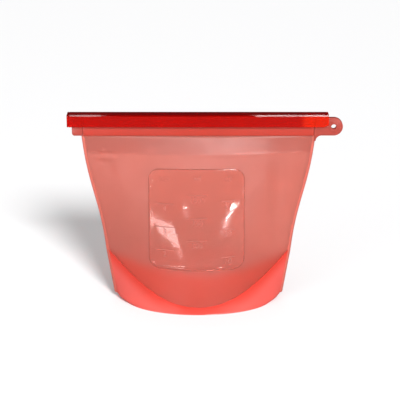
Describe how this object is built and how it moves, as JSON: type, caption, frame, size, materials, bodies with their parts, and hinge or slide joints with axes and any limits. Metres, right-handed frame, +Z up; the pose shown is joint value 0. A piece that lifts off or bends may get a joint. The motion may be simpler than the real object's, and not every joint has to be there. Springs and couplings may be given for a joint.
{
  "type": "reusable silicone bag",
  "caption": "Stand-up translucent silicone storage bag with a boat-shaped base, a measuring window, a hanging tab and a rigid slider bar that closes its two thick lips.",
  "frame": {"origin": "middle of the gusset's flat underside, on the surface that the bag stands on", "axes": "+X along the mouth towards the hanging tab, -Y out of the front wall with the measuring window, +Z up"},
  "size_m": [0.2271, 0.076, 0.164],
  "materials": {
    "silicone_wall": "frosted, translucent",
    "silicone_window": "polished, translucent",
    "silicone_base": "frosted, translucent",
    "silicone_lip": "satin",
    "bar_plastic": "polished, transparent red"
  },
  "bodies": {
    "bag": {"front_skirt": "silicone_base", "back_skirt": "silicone_base", "base_gusset": "silicone_base", "left_side_seam": "silicone_wall", "right_side_seam": "silicone_wall", "lip_end": "silicone_lip", "hanging_tab": "silicone_lip"},
    "front_wall": {"front_panel": "silicone_wall", "measuring_window": "silicone_window", "front_lip": "silicone_lip"},
    "back_wall": {"back_panel": "silicone_wall", "back_lip": "silicone_lip"},
    "slider": {"slider_bar": "bar_plastic", "slider_end_stop": "bar_plastic"}
  },
  "joints": [
    {"name": "slider_slide", "type": "slide", "parent": "bag", "child": "slider", "axis": [-1, 0, 0], "range_m": [0, 0.225]},
    {"name": "front_wall_opens", "type": "hinge", "parent": "bag", "child": "front_wall", "pos_m": [0, -0.0373, 0.0055], "axis": [1, 0, 0], "range_deg": [0, 10], "deforming": ["front_lip"]},
    {"name": "back_wall_opens", "type": "hinge", "parent": "bag", "child": "back_wall", "pos_m": [0, 0.0373, 0.0055], "axis": [-1, 0, 0], "range_deg": [0, 10], "deforming": ["back_lip"]}
  ],
  "couplings": [
    {"joint": "front_wall_opens", "follows": "slider_slide", "rad_per_m": 0.7756},
    {"joint": "back_wall_opens", "follows": "slider_slide", "rad_per_m": 0.7756}
  ]
}
